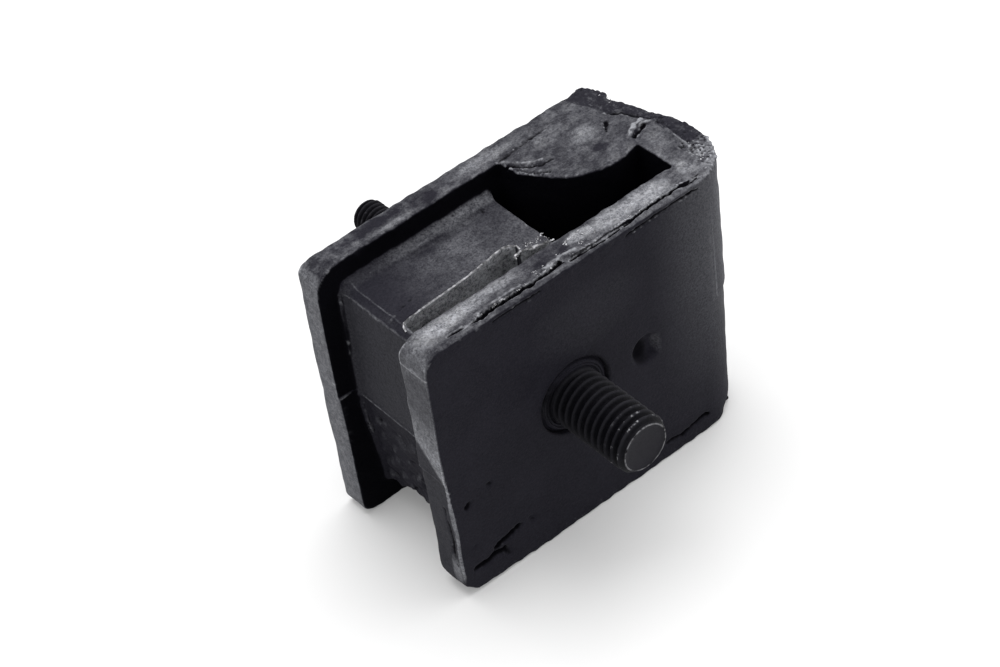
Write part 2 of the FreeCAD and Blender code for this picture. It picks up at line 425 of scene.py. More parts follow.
def makeRubber():
    s, look = newShading("mouldedRubber"), rubberFinish
    up = s.fade(s.nz, 0.45, 0.85)
    left = s.fade(s.nx, -0.45, -0.85)
    cloud = s.noise(7, 4, 0.55, seed=1)
    smear = s.noise(1.8, 6, 0.65, (0.8, 1.1, 0.9), seed=2)
    scuff = s.noise(0.8, 5, 0.7, (0.75, 1.2, 1), seed=5)
    grain = s.noise(0.42, 3, 0.65, seed=3)
    speck = s.fade(s.noise(0.55, 2, 0.5, seed=4), 0.60, 0.70)
    patch = s.fade(cloud, 0.38, 0.66)
    streak = s.fade(smear, 0.36, 0.64)
    fine = s.fade(grain, 0.40, 0.60)
    pores = s.noise(0.22, 2, 0.6, seed=10)
    pitted = s.fade(pores, 0.42, 0.58)
    scratch = s.fade(s.noise(0.45, 3, 0.6, (0.12, 1.5, 1), seed=6), 0.54, 0.64)

    # dust, polish and painted sheen on the walls' tops and the neck, patch by patch
    top = s.fade(s.z, 50.6, 51.6)
    bandEdge = s.greater(s.x - 59.4 - 10 * s.fade(s.y, 15.5, 17.5), s.x + 0.45 * s.y - 66.6)
    band = s.fade(bandEdge + 0.8 * smear, 0.2, 0.6) * s.fade(s.y, 7.0, 8.2)
    crumbled = s.fade(s.x, 56.6, 58.2) * s.fade(s.y, 8.8, 7.2)
    dustAndPaintedSheen = 0.020 + 0.065 * patch + 0.07 * streak + 0.015 * scratch
    for x, y, reachX, reachY, amount in look["patches"]:
        dustAndPaintedSheen = dustAndPaintedSheen + amount * s.blob(s.x, s.y, (x, y), (reachX, reachY), smear)
    flecked = s.fade(s.noise(1.7, 5, 0.75, seed=9), 0.53, 0.61)
    dustAndPaintedSheen = dustAndPaintedSheen * (1 - 0.97 * band) + speck * (0.03 * band + 0.16 * crumbled) + 0.075 * band * flecked
    # the split along the front wall's top edge, painted dark as shade, with a torn lip behind it
    wander = s.noise(3.0, 4, 0.75, (1, 0, 0), seed=7)
    broken = s.noise(1.3, 3, 0.6, (1, 0.3, 0), seed=8)
    split = s.y - 0.90 - 1.1 * wander
    where = s.between(s.x, 11, 29, 1) + 0.7 * s.between(s.x, 29, 39, 1) + s.between(s.x, 39, 55.5, 1)
    where = where * s.fade(s.z, 51.0, 51.5)
    lip = s.fade((split - 0.38) ** 2, 0.05, 0.01) * s.fade(broken, 0.46, 0.54) * where
    split = s.fade(split * split, 0.040, 0.012) * s.fade(broken, 0.36, 0.46) * where
    dustAndPaintedSheen = dustAndPaintedSheen + 0.30 * lip * fine
    neckTop = s.between(s.z, 46.5, 49.5, 0.4)
    neckDustAndShadow = (0.003 + 0.09 * s.fade(s.x, 8, 22)) * (0.5 + 0.9 * patch)
    # a painted shadow in front of the bead
    neckDustAndShadow = neckDustAndShadow - 0.025 * s.blob(s.x, s.y, (21.5, 23.0), (6.0, 1.5), smear)
    bevel = s.near(s.x, 5.9, 0.16) * s.fade(s.z, 46.9, 47.3)
    bevel = bevel + s.near(s.z, 46.6, 0.16) * s.fade(s.x, 5.0, 4.7)
    bevel = bevel * s.between(s.y, 7.5, 25.5, 0.3) * s.fade(s.x, 3.6, 4.0) * (0.3 + 0.7 * streak)
    # a painted highlight along the bead by the rear wall
    beadPaintedHighlight = s.between(s.y, 24.4, 26.2, 0.3) * s.between(s.z, 47.4, 49.0, 0.3) * s.between(s.x, 5, 34.5, 0.5)
    beadPaintedHighlight = beadPaintedHighlight * (0.3 + 0.7 * s.fade(s.x, 10, 18))
    # the slot's far wall is painted pale, as painted light against the slot's shade, and kept out of the
    # painted shade below
    slotWallPaintedLight = s.between(s.y, 10.2, 15.4, 0.3) * s.fade(s.z, 39.5, 42.5) * s.between(s.x, 5, 33.5, 0.3)
    slotWallPaintedLight = slotWallPaintedLight * s.fade(s.ny, -0.35, -0.7)

    # the free ends: pale above the parting line, darker below; the neck's darker lower half is painted
    # shade
    ends = s.fade(s.x, 3.0, 1.5)
    rearEnd = s.fade(s.y, 15, 16)
    quad = s.fade(s.z - s.y, 26.0, 27.5) * (0.6 + 1.8 * s.fade(s.z, 42, 30))
    frontEnd = 0.035 + 0.15 * quad + 0.06 * s.fade(s.z, 46.0, 48.5)
    endDust = ends * (frontEnd * (1 - rearEnd) + rearEnd * 0.26) * (0.75 + 0.4 * streak)
    neckEnd = s.fade(s.x, 3.0, 3.8) * (0.001 + 0.036 * s.fade(s.z, 25.2, 26.0))
    # painted highlights along the front wall's upright edges, most below the fold, and a pale patch low on
    # its free end
    edgeLightAndPatch = s.fade(s.nx * s.ny, 0.16, 0.35) * s.fade(s.y, 0.9, 0.5) * s.fade(s.x, 3, 2) * s.fade(s.z, 3, 6)
    edgeLightAndPatch = edgeLightAndPatch * (0.07 + 0.34 * s.fade(s.z, 31, 28) * (0.4 + 0.6 * streak))
    edgeLightAndPatch = edgeLightAndPatch + left * 0.26 * s.blob(s.y, s.z, (1.3, 6.0), (1.3, 3.4), smear)
    edgeLightAndPatch = edgeLightAndPatch + left * 0.10 * s.near(s.y, 6.0, 0.25) * s.between(s.z, 37, 47, 1)
    # the round top of that wall's end, with a painted highlight line round it
    fold = s.near(s.z, 48.4, 0.26) * s.fade(s.x, 2, 1) * s.fade(s.y, 6.6, 6.2) * s.fade(s.nx, -0.3, -0.6)
    edgeLightAndPatch = edgeLightAndPatch + 0.22 * fold
    edgeLightAndPatch = edgeLightAndPatch + left * 0.22 * s.near(s.y, 6.1, 0.35) * s.between(s.z, 48.2, 51.6, 0.3)
    # painted highlights on the up-facing sides of the wrinkles low on the neck
    lumpHighlights = s.between(s.z, 4, 23, 1) * s.between(s.x, 3.2, 7.5, 0.3) * s.between(s.y, 8, 25, 1)
    lumpHighlights = lumpHighlights * s.fade(s.nz, 0.05, 0.45) * s.fade(s.nx, 0, -0.3)
    # painted light pales the front face toward the closed end, where it turns to the right lamp; it also
    # has specks along its foot and a painted lighter patch high in its middle
    front = s.fade(s.ny, 0.1, -0.2) * s.fade(s.y, 9, 7)
    faceLightAndSpecks = front * (0.12 * s.fade(s.x, 42, 60) + 0.10 * s.fade(s.x, 57, 63)) * s.fade(s.z, 0, 40)
    worn = 0.03 * speck * s.fade(s.z, 2.4, 0.8) + 0.012 * s.blob(s.x, s.z, (30, 41), (12, 7), cloud)
    faceLightAndSpecks = faceLightAndSpecks + front * worn
    # painted shade on one side of the pin hole and of the stud's seat, a painted highlight on the hole's
    # other side, and a dark patch at the torn lower corner
    pinPaintedLight = s.blob(s.x, s.z, (43.6, 26.2), (0.9, 2.3), smear) * s.fade(s.y, 3, 2)
    pinPaintedShade = s.blob(s.x, s.z, (40.4, 26.2), (1.9, 2.7), smear) * s.fade(s.y, 3, 2)
    seatPaintedShade = s.blob(s.x, s.z, (23.0, 27.6), (2.9, 4.2), smear)
    seatPaintedShade = seatPaintedShade * s.fade(s.y, 4, 3) * s.fade(s.y, -0.1, 0.3)
    tornDark = s.blob(s.x, s.z, (60.0, 0.8), (4.5, 1.3), smear) * s.fade(s.y, 10, 6)

    wearAndEdgeLight = s.node("Attribute", {"attribute_name": "wearAndEdgeLight"}, {}, "Fac")
    bloomAndPaintedLight = up * (top * dustAndPaintedSheen + neckTop * neckDustAndShadow) + 0.07 * beadPaintedHighlight + 0.75 * slotWallPaintedLight + 0.10 * bevel
    bloomAndPaintedLight = bloomAndPaintedLight * (0.15 + 0.45 * fine + 0.35 * pitted + 0.60 * s.fade(scuff, 0.36, 0.66) + 0.1 * scratch)
    smooth = left * (endDust + neckEnd) + edgeLightAndPatch + faceLightAndSpecks + 0.05 * pinPaintedLight + 0.04 * lumpHighlights
    bloomAndPaintedLight = bloomAndPaintedLight + smooth * (0.58 + 0.35 * fine + 0.35 * pitted)
    offX, offZ = s.x - frontStudX, s.z - partingHeight
    clear = s.fade(offX * offX + offZ * offZ, 70, 90) * s.fade(s.z, 3, 12) * (1 - 0.85 * band)
    clear = clear * (1 - 0.7 * s.fade(s.z, 27, 24) * s.fade(s.x, 3.2, 3.8)) * (1 - 0.6 * neckTop)
    clear = clear * (1 - s.fade(s.x, 56.5, 58.5) * s.between(s.z, 3, 49.5, 1))
    bloomAndPaintedLight = bloomAndPaintedLight + 0.42 * wearAndEdgeLight * (0.15 + 0.85 * s.fade(scuff, 0.36, 0.56)) * clear
    creaseShade = s.node("Attribute", {"attribute_name": "creaseShade"}, {}, "Fac")
    # the painted shade in the split, the pin hole and the seat joins the creases' painted shade
    for mark in (split, pinPaintedShade, 0.9 * seatPaintedShade, 0.6 * tornDark):
        creaseShade = s.greater(creaseShade, mark)
    black = s.mixed(0.3 * patch + 0.3 * fine + 0.4 * pitted, *look["black"])
    colour = s.mixed(bloomAndPaintedLight, black, look["dustAndPaintedSheen"])
    colour = s.mixed(creaseShade * 0.95, colour, look["creaseShade"])

    rough = 0.6 + 0.16 * cloud + 0.12 * grain
    bumps = s.bump(grain, look["bumps"]["grain"])
    bumps = s.bump(scuff, look["bumps"]["scuff"], bumps)
    bumps = s.bump(pores, look["bumps"]["pores"], bumps)
    dull = s.surface(colour, rough, 0.11, Normal=bumps)
    polished = s.surface(colour, 0.3 + 0.3 * grain, 0.5, Normal=bumps)
    shine = s.fade(top * up * dustAndPaintedSheen * streak, 0.02, 0.30)
    open = s.node("MixShader", {}, {0: shine, 1: dull, 2: polished})
    # painted shade: the walls' inner faces, the window and the creases get a near black surface
    gap = s.between(s.y, 6.0, 26.6, 0.15) * s.fade(s.z, 52.2, 51.9) * s.between(s.x, -1, 54.6, 0.2)
    facing = s.fade(s.ny * s.ny, 0.5, 0.75)
    hollowShade = s.greater(s.fade(s.x, 34.2, 35.4), facing) * gap * s.fade(s.nz, 0.6, 0.3) * (1 - slotWallPaintedLight)
    hollowShade = hollowShade * (1 - 0.85 * wearAndEdgeLight * s.fade(s.x, 8, 6))
    hollowShade = s.greater(hollowShade, 0.95 * creaseShade)
    inner = s.surface(look["inner"], 0.8, 0.03, Normal=bumps)
    return s.finish(s.node("MixShader", {}, {0: hollowShade, 1: open, 2: inner}))


flashColours = ((0.13, 0.13, 0.135), (0.68, 0.68, 0.71))
steelColours = ((0.36, 0.36, 0.37), (0.46, 0.46, 0.47))
studFinish = {
    "black": ((0.0016, 0.0016, 0.003), (0.019, 0.0185, 0.023)),
    "rubbed": (0.36, 0.36, 0.38),
    "studShade": (0.0015, 0.0015, 0.0025, 1),
}


def makeFlash():
    s = newShading("driedFlash")
    cloud = s.noise(0.9, 3, 0.6, seed=11)
    grain = s.noise(0.2, 2, 0.6, seed=12)
    colour = s.mixed(s.fade(cloud, 0.38, 0.68), *flashColours)
    return s.finish(s.surface(colour, 0.5 + 0.3 * grain, 0.4, Normal=s.bump(grain, 0.03)))


def makeStudFinish(name, spec, tip):
    # black phosphate, rubbed bright along the thread's crests and the rim of the tip
    s = newShading(name)
    offX, offZ = s.x - spec["x"], s.z - partingHeight
    radius = (offX * offX + offZ * offZ) ** 0.5
    fromTip = (s.y - tip) * -spec["toward"]
    crest, rimRadius = spec["radius"], spec["rim"]
    cloud = s.noise(1.1, 4, 0.65, seed=21)
    grain = s.noise(0.25, 3, 0.6, seed=22)
    outer = s.fade(fromTip, 5.0, 1.8)
    studShade = s.fade(s.nx - 0.5 * s.nz, -0.2, -0.75) * s.fade(fromTip, 0.5, 2.5)
    rubbed = s.fade(radius, crest - 0.22, crest - 0.04) * s.fade(cloud, 0.55, 0.66) * spec["rubbed"] * outer
    rim = s.between(radius, rimRadius - 0.13, rimRadius + 0.12, 0.06) * s.fade(fromTip, 0.25, 0.05)
    bright = s.greater(rubbed, 0.55 * rim * s.fade(cloud, 0.38, 0.58))
    face = s.fade(radius, rimRadius, rimRadius - 0.3) * s.fade(fromTip, 0.8, 0.5)
    along = s.fade(radius, crest - 0.45, crest - 0.08) * (0.5 + 0.9 * grain)
    colour = s.mixed(s.fade(cloud, 0.3, 0.7) * 0.2 + 0.75 * face + 0.6 * along, *studFinish["black"])
    colour = s.mixed(bright * 0.85, colour, studFinish["rubbed"])
    bumps = s.bump(grain, 0.09)
    rough = 0.55 - 0.22 * bright + 0.2 * grain
    lit = s.surface(colour, rough, 0.1, Metallic=0.2 + 0.7 * bright, Normal=bumps)
    # painted shade: blacker on one side of the stud, away from its tip
    dark = s.surface(studFinish["studShade"], 0.8, 0.03, Normal=bumps)
    studShade = 0.75 * studShade * (1 - bright) * (1 - 0.6 * along)
    return s.finish(s.node("MixShader", {}, {0: studShade, 1: lit, 2: dark}))


def makeSteel():
    # bare rolled plate, as it lies inside the rubber
    s = newShading("rolledPlate")
    drawn = s.noise(1.5, 4, 0.6, (0.08, 1, 1), seed=31)
    cloud = s.noise(9, 3, 0.5, seed=32)
    colour = s.mixed(s.fade(cloud, 0.3, 0.7), *steelColours)
    return s.finish(s.surface(colour, 0.3 + 0.2 * drawn, Metallic=1.0, Normal=s.bump(drawn, 0.02)))


rubberMaterial = makeRubber()
flashMaterial = makeFlash()
steelMaterial = makeSteel()
print("materials made")


# the rubber moulding

# how far an outline's chart reaches, seen from above and from the front
topReach, frontReach = (67, 34), (67, 55)
rubber = {
    "height": 52.3,
    "depth": 30.7,
    # walls, closed end and bump stop, seen from above; the lower half is slimmer
    "planTop": chart([
        (0, 0, 0.2), (63.05, 0, 9.0), (63.05, 12.8, 4.0), (58.7, 25.6, 12.0), (56.9, 30.7, 0.3),
        (0, 30.7, 0.2), (0, 26.4, 0.2), (36.4, 26.4, 0.4), (37.1, 21.6, 5.0), (41.6, 15.2, 8.0),
        (48.3, 12.5, 8.0), (54.3, 13.8, 0.3), (54.3, 6.1, 0.3), (0, 6.2, 0.3)], topReach),
    "planBottom": chart([
        (0.9, 0, 0.2), (62.1, 0, 9.0), (62.1, 12.8, 4.0), (57.7, 25.6, 12.0), (56.5, 30.7, 0.3),
        (0.3, 30.7, 0.2), (0.3, 25.8, 0.2), (36.4, 26.0, 0.6), (39.9, 13.9, 8.0), (54.3, 13.8, 1.0),
        (54.3, 6.3, 1.0), (0.9, 6.3, 0.3)], topReach),
    # the two walls, seen from the front
    "frontWall": chart([
        (0, 3.3, 0.4), (3.3, 0.5, 0.4), (16, 0, 0), (70, 0, 0), (70, 52.3, 0),
        (0, 52.3, 3.2)], frontReach),
    "rearWall": chart([(0, 0, 3.0), (70, 0, 0), (70, 52.3, 0), (0, 52.3, 2.4)], frontReach),
    "rearWallInside": chart([(0, 0, 3.4), (70, 0, 0), (70, 52.3, 0), (0, 52.3, 5.2)], frontReach),
    "between": 15.0,            # from here on the rear wall's shape holds
    "wornEnd": (13.5, 5, 0.5),  # a hollow in the front wall's free end: height, spread and depth
    "trim": 0.45,               # rounding of the walls' edges
    # the neck between them, seen from the front
    "neck": chart([
        (6.0, 4.8, 0.8), (33.2, 4.8, 0.5), (34.6, 25.6, 0.2), (33.5, 47.5, 0.4), (5.9, 47.5, 0.12),
        (4.5, 46.6, 0.12), (4.2, 25.6, 0.2)], frontReach),
    "neckFoot": 4.8,
    "neckTop": 47.5,
    "neckEnds": (2.5, 28.5),    # inside the two walls
    "neckRise": 3.0,            # of the foot, toward the front wall
    "fillet": 1.3,
    # the slot beside the front wall
    "slot": chart([
        (5.6, 0, 0), (32.9, 0, 0), (32.9, 10.9, 0.4), (30.1, 11.8, 0.5), (28.4, 12.4, 0.2),
        (28.9, 13.9, 0.5), (27.0, 15.0, 0.9), (19.0, 13.9, 3.0), (10.7, 13.5, 0),
        (6.2, 13.1, 0.9)], topReach),
    "slotDepth": 12.0,          # from the neck's top, and from its foot
    "slotEdge": 0.3,
    # a fin of flash at the rear corner of the closed end
    "fin": chart([
        (54.5, 29.0, 0.5), (56.5, 31.2, 0.2), (57.8, 30.2, 0.4), (59.1, 28.0, 0.5), (59.3, 26.5, 0.2),
        (58.4, 25.8, 0.2), (55.5, 25.0, 0.5)], topReach),
    # the seats round the studs, the dish in the face round the front one, and the mould's pin hole
    "seat": {"radius": 6.75, "depth": 1.3, "edge": 0.35},
    "rearSeat": {"radius": 4.2, "depth": 0.5, "edge": 0.15},
    "dish": {"depth": 0.30, "reach": 9},
    "pin": {"x": 41.2, "z": 26.3, "radius": 2.6, "depth": 1.3, "bottom": 1.2, "edge": 0.8},
    # the torn band on top of the closed end
    "tornBand": chart([
        (53.9, 31.5, 0), (55.0, 26.6, 0.8), (55.2, 23.0, 0.8), (59.6, 17.4, 1.5), (59.7, 8.6, 2.5),
        (57.6, 4.4, 1), (57.0, -1, 0), (70, -1, 0), (70, 31.5, 0)], topReach),
    # millimetres taken off, then waves of height, size, seed and squeeze
    "uneven": {
        "rims": (0, (0.08, 1.6, 5, 1)),
        "insides": (0, (0.06, 4, 13, 1)),
        "tornTop": (0.14, (0.15, 1.2, 8, 1), (0.08, 3, 9, 1)),
        "crumbled": (0, (0.16, 0.95, 16, 1)),
        "tornFoot": (0.9, (0.5, 2.2, 10, 1)),
        "freeEnds": (0, (0.12, 7, 15, 1)),
        "wrinkles": (0, (0.36, 2.1, 12, 0.75), (0.16, 3.4, 17, 1)),
    },
    "ridge": {"height": 0.2, "width": 0.2},
    "neckRidge": {"height": 0.3, "width": 0.24, "z": 25.6},
    "fineReach": 0.8,           # how far from the surface the small marks are worked out
    "push": 0.12,               # the most that a point is moved onto the surface, each turn
    "triangles": 196000,
}


def rubberShape(x, y, z):
    # the main form, before its small marks
    r = rubber
    under = fade(z, partingHeight + 0.12, partingHeight - 0.12)
    below = under * (0.4 + 0.6 * (partingHeight - z) / partingHeight)
    plan = r["planTop"](x, y) * (1 - below) + r["planBottom"](x, y) * below
    height, spread, hollow = r["wornEnd"]
    worn = hollow * np.exp(-((z - height) / spread) ** 2)
    rear = r["rearWall"](x, z)
    rear = rear + (r["rearWallInside"](x, z) - rear) * np.clip((30.3 - y) / 3.6, 0, 1)
    side = np.where(y < r["between"], r["frontWall"](x - worn, z), rear)
    solid = roundedAnd(plan, side, r["trim"])
    lift = r["neckRise"] * np.clip((25 - y) / 12, 0, 1) * fade(z, 22, 9)
    neck = np.maximum(r["neck"](x, z - lift), np.maximum(r["neckEnds"][0] - y, y - r["neckEnds"][1]))
    fromAbove = r["neckTop"] - r["slotDepth"] - z
    fromBelow = z - r["neckFoot"] - r["slotDepth"]
    deep = np.where(z > partingHeight, fromAbove, fromBelow)
    neck = roundedAnd(neck, -np.maximum(r["slot"](x, y), deep), r["slotEdge"])
    solid = roundedOr(solid, neck, r["fillet"])
    # the seats and the pin hole
    seat, rearSeat, pin = r["seat"], r["rearSeat"], r["pin"]
    out = np.hypot(x - frontStudX, z - partingHeight)
    solid = roundedAnd(solid, -np.maximum(out - seat["radius"], y - seat["depth"]), seat["edge"])
    out = np.hypot(x - pin["x"], z - pin["z"])
    hole = roundedAnd(out - pin["radius"], y - pin["depth"], pin["bottom"])
    solid = roundedAnd(solid, -hole, pin["edge"])
    out = np.hypot(x - rearStudX, z - partingHeight)
    hole = np.maximum(out - rearSeat["radius"], r["depth"] - rearSeat["depth"] - y)
    return roundedAnd(solid, -hole, rearSeat["edge"])


def roughen(solid, weight, kind, x, y, z):
    # makes the surface uneven where the weight is over 0
    weight = np.broadcast_to(weight, solid.shape)
    here = weight > 0.01
    off, *waves = rubber["uneven"][kind]
    for height, size, seed, squeeze in waves:
        off = off + height * ripple(x[here], y[here], squeeze * z[here], size, seed)
    solid[here] += weight[here] * off


def wholeShape(x, y, z):
    top, dish = rubber["height"], rubber["dish"]
    solid = rubberShape(x, y, z)
    out = np.hypot(x - frontStudX, z - partingHeight)
    solid = solid + dish["depth"] * np.exp(-(out / dish["reach"]) ** 2) * fade(y, 3, 1)
    roughen(solid, fade(z, top - 2.5, top - 0.5) + fade(z, 2.0, 0.3), "rims", x, y, z)
    roughen(solid, fade(y, 0.5, 2), "insides", x, y, z)
    # the closed end's torn top
    torn = fade(rubber["tornBand"](x, y), 0.35, -0.35) * fade(z, top - 2, top - 1)
    roughen(solid, torn, "tornTop", x, y, z)
    crumbled = fade(x, 57.2, 58.4) * fade(y, 9.4, 8.2) * fade(y, 2.2, 3.2) * fade(z, top - 2, top - 1)
    roughen(solid, crumbled, "crumbled", x, y, z)
    fin = np.maximum(rubber["fin"](x, y), np.abs(z - 51.95) - 0.3)
    solid = roundedOr(solid, fin + 0.12 * ripple(x, y, z, 1.2, 14), 0.3)
    # the torn lower end of the round
    low = fade(z, 2.6, 0.4) * fade(x, 55, 60) * fade(y, 17, 11)
    roughen(solid, low, "tornFoot", x, y, z)
    roughen(solid, fade(x, 4, 1.5), "freeEnds", x, y, z)
    # wrinkles low on the neck's free side
    wrinkled = fade(x, 8, 6) * fade(x, 3.2, 3.8) * fade(z, 24, 21) * fade(y, 26, 23) * fade(y, 7, 10)
    roughen(solid, wrinkled, "wrinkles", x, y, z)
    for index, (path, into, width, depth) in enumerate(scores):
        solid = score(x, y, z, solid, path, into, width, depth, scoreSeed + index)
    solid = solid - partingRidge(x, y, z)
    return np.maximum(solid, 0.02 - z)      # it stands just clear of the floor


def partingRidge(x, y, z):
    # the mould's parting line, on the end faces and on the neck
    ends = fade(x, 3, 1) * fade(y, 0.2, 0.7) * fade(y, 30.1, 29.2) + 0.25 * fade(x, 58, 60)
    onNeck = fade(x, 3.4, 4.0) * fade(x, 8, 6) * fade(y, 7, 8)
    outer, inner = rubber["ridge"], rubber["neckRidge"]
    line = outer["height"] * ends * np.exp(-((z - partingHeight) / outer["width"]) ** 2)
    return line + inner["height"] * onNeck * np.exp(-((z - inner["z"]) / inner["width"]) ** 2)


def topCut(width, depth, *spots):
    # straight down into the walls' and the closed end's tops
    return [(x, y, 52) for x, y in spots], 2, width, depth


def faceCut(width, depth, *spots):
    # into the front face
    return [(x, 0, z) for x, z in spots], 1, width, depth


def ridge(width, height, *spots):
    # a raised line
    return list(spots), None, width, -height


# each mark is a path of points, the axis that it goes into, a width and a depth, and its place
# in the list seeds it
scoreSeed = 40
splitMarks = 6              # the first ones are the split
scores = [
    # the split along the front wall's top edge, and the fold below it
    topCut(0.22, 0.42, (6.3, 1.8), (9.3, 1.5), (12.0, 1.3)),
    topCut(0.30, 1.2, (12.0, 1.3), (14.2, 1.6), (16.1, 1.6), (18.4, 1.5), (19.9, 1.6), (22.1, 1.3)),
    topCut(0.26, 1.0, (22.6, 1.5), (24.6, 1.4), (26.3, 1.7), (28.0, 1.9)),
    topCut(0.22, 0.5, (29.4, 1.1), (32.6, 1.0), (35.8, 0.8), (39.0, 1.0)),
    topCut(0.26, 0.8, (40.1, 1.0), (43.1, 1.4), (45.7, 1.6), (47.9, 1.7), (49.8, 1.5)),
    topCut(0.20, 0.5, (50.3, 1.7), (51.6, 1.3), (53.5, 1.0), (54.8, 1.1)),
    faceCut(0.22, 0.35, (13.5, 51.3), (18.0, 51.4), (22.5, 51.2)),
    faceCut(0.22, 0.5, (39.5, 51.1), (43.1, 51.2), (46.4, 51.3), (49.6, 51.4), (54.0, 51.2)),
    ridge(0.30, 0.30, (12.5, 2.2, 52.4), (16.5, 2.4, 52.4), (20.5, 2.3, 52.4)),
    ridge(0.45, 0.45, (25.5, 2.4, 52.4), (28.5, 2.7, 52.4), (31.0, 2.3, 52.4)),
    # two cuts and a few pits in the front face
    faceCut(0.42, 1.2, (7.7, 6.7), (8.8, 7.0), (10.0, 7.3), (12.4, 7.9)),
    faceCut(0.42, 1.2, (3.6, 5.2), (5.6, 5.0), (7.0, 5.5), (9.3, 5.1)),
    faceCut(0.45, 0.45, (9.3, 5.1), (9.9, 3.6)),
    faceCut(0.42, 0.35, (8.0, 20.9), (8.3, 20.8)),
    faceCut(0.45, 0.4, (3.5, 19.0), (3.9, 19.5)),
    faceCut(0.5, 0.4, (15.0, 7.9), (15.2, 7.4)),
    faceCut(0.4, 0.25, (3.6, 10.0), (3.9, 10.1)),
    # the tear above the closed end's lower corner
    faceCut(0.30, 0.9, (52.7, 3.4), (51.9, 3.8), (50.3, 3.5), (48.5, 3.2), (47.1, 2.8)),
    faceCut(0.30, 0.5, (47.1, 2.8), (45.8, 3.1), (44.5, 3.4), (43.6, 3.3)),
    # scratches and folds on the bump stop
    topCut(0.24, 0.42, (37.0, 24.6), (38.1, 22.9), (39.3, 21.7), (40.8, 20.9), (42.8, 20.7)),
    topCut(0.24, 0.30, (37.4, 22.7), (38.1, 21.2), (39.0, 19.9), (40.5, 18.7)),
    ridge(0.32, 0.26, (36.8, 26.0, 52.35), (37.5, 25.0, 52.35), (38.6, 23.6, 52.35),
          (39.8, 22.5, 52.35), (41.4, 21.8, 52.35)),
    topCut(0.34, 0.26, (36.8, 26.4), (40.2, 26.7), (43.6, 27.1), (46.8, 27.2)),
    topCut(0.3, 0.12, (41.0, 25.7), (42.4, 25.5), (42.9, 24.3), (42.3, 22.9), (40.9, 22.5)),
    topCut(0.35, 0.6, (54.2, 21.2), (53.0, 19.8)),
    # the closed end's curl of rubber, its fold, and the rim of the torn band
    ridge(0.36, 0.95, (58.4, 17.5, 52.4), (56.9, 17.3, 52.4), (55.4, 16.5, 52.3), (54.3, 16.0, 52.2)),
    topCut(0.26, 0.7, (58.0, 16.4), (56.4, 15.8), (54.8, 15.4)),
    ridge(0.3, 0.45, (57.4, 16.7, 52.4), (58.6, 16.7, 52.4), (59.5, 16.2, 52.4)),
    ridge(0.26, 0.35, (59.8, 15.9, 52.4), (59.6, 13.3, 52.4), (59.5, 10.2, 52.4), (59.1, 7.1, 52.4)),
    topCut(0.3, 0.4, (56.1, 23.0), (57.7, 21.2), (58.8, 18.4), (59.6, 17.0)),
    # the neck: its bead along the rear wall, the hollow before it, a torn spot and a scratch
    ridge(0.95, 0.95, (5.2, 25.6, 47.4), (12.0, 25.5, 47.5), (20.0, 25.2, 47.5), (28.0, 25.2, 47.5),
          (33.0, 25.6, 47.5)),
    ([(17.0, 23.6, 47), (24.0, 23.3, 47), (30.5, 23.8, 47)], 2, 0.55, 0.3),
    ridge(0.45, 0.3, (5.7, 15.2, 47.5), (6.8, 15.0, 47.5)),
    ([(7.6, 15.8, 47), (9.2, 16.2, 47), (11.0, 16.6, 47)], 2, 0.2, 0.16),
    ridge(0.28, 0.22, (4.5, 19.2, 46.3), (4.6, 14.8, 46.3)),
    # folds where the neck meets the rear wall
    ridge(0.34, 0.52, (4.2, 26.2, 46.5), (4.1, 26.3, 43.0), (4.0, 26.4, 38.5), (3.9, 26.3, 34.7)),
    ridge(0.30, 0.28, (4.1, 25.9, 24.0), (4.3, 25.5, 19.5), (4.6, 25.2, 14.0)),
    # the fold and the frayed edge on the front wall's free end
    ridge(0.26, 0.25, (0.1, 5.6, 35.4), (0.2, 2.6, 32.2), (0.3, 0.9, 30.0)),
    ridge(0.30, 0.42, (0.5, 6.0, 49.0), (0.0, 3.4, 48.6), (0.2, 0.8, 48.7)),
    ridge(0.24, 0.25, (0.2, 0.2, 29.2), (0.7, 0.2, 23.0), (1.3, 0.2, 15.0), (1.3, 0.2, 7.0)),
    ([(0.8, 1.6, 20.0), (1.0, 1.3, 12.0), (1.0, 1.2, 7.0)], 0, 0.3, 0.3),
]


# grid lines along x, y and z, closest where the marks are
axes = [
    gridLines((-0.8, 64.0, 0.34)),
    gridLines((-0.9, 0.6, 0.25), (0.6, 2.4, 0.18), (2.4, 28.0, 0.33), (28.0, 31.6, 0.3)),
    gridLines((-0.8, 2.0, 0.3), (2.0, 4.4, 0.5), (4.4, 9.0, 0.3), (9.0, 22.0, 0.42), (22.0, 30.5, 0.3),
              (30.5, 46.0, 0.7), (46.0, 49.0, 0.3), (49.0, 53.2, 0.2)),
]
grid = np.meshgrid(*[lines.astype(np.float32) for lines in axes], indexing="ij", sparse=True)
field = rubberShape(*grid) + np.float32(0)
close = np.abs(field) < rubber["fineReach"]
field[close] = wholeShape(*[np.broadcast_to(part, field.shape)[close] for part in grid])
points, faces = netSurface(field, axes)
for turn in range(2):
    push = np.clip(wholeShape(*points.T), -rubber["push"], rubber["push"])
    points = points - push[:, None] * pointNormals(points, faces)
print("rubber netted:", len(points), "points")

# keep only the one connected body
label = np.arange(len(points))
while True:
    lowest = label[faces].min(1)
    new = label.copy()
    np.minimum.at(new, faces, lowest[:, None])
    new = new[new]
    if (new == label).all():
        break
    label = new
mostly = np.bincount(label).argmax()
kept = label == mostly
renumber = np.cumsum(kept) - 1
faces = renumber[faces[kept[faces[:, 0]]]]
points = points[kept]

rubberPiece = newPiece("rubberMoulding", points, faces.tolist(), rubberMaterial)
shrink = rubberPiece.modifiers.new("shrink", "DECIMATE")
shrink.ratio = rubber["triangles"] / (2 * len(faces))
applyModifiers(rubberPiece)
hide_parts("rubber_body")

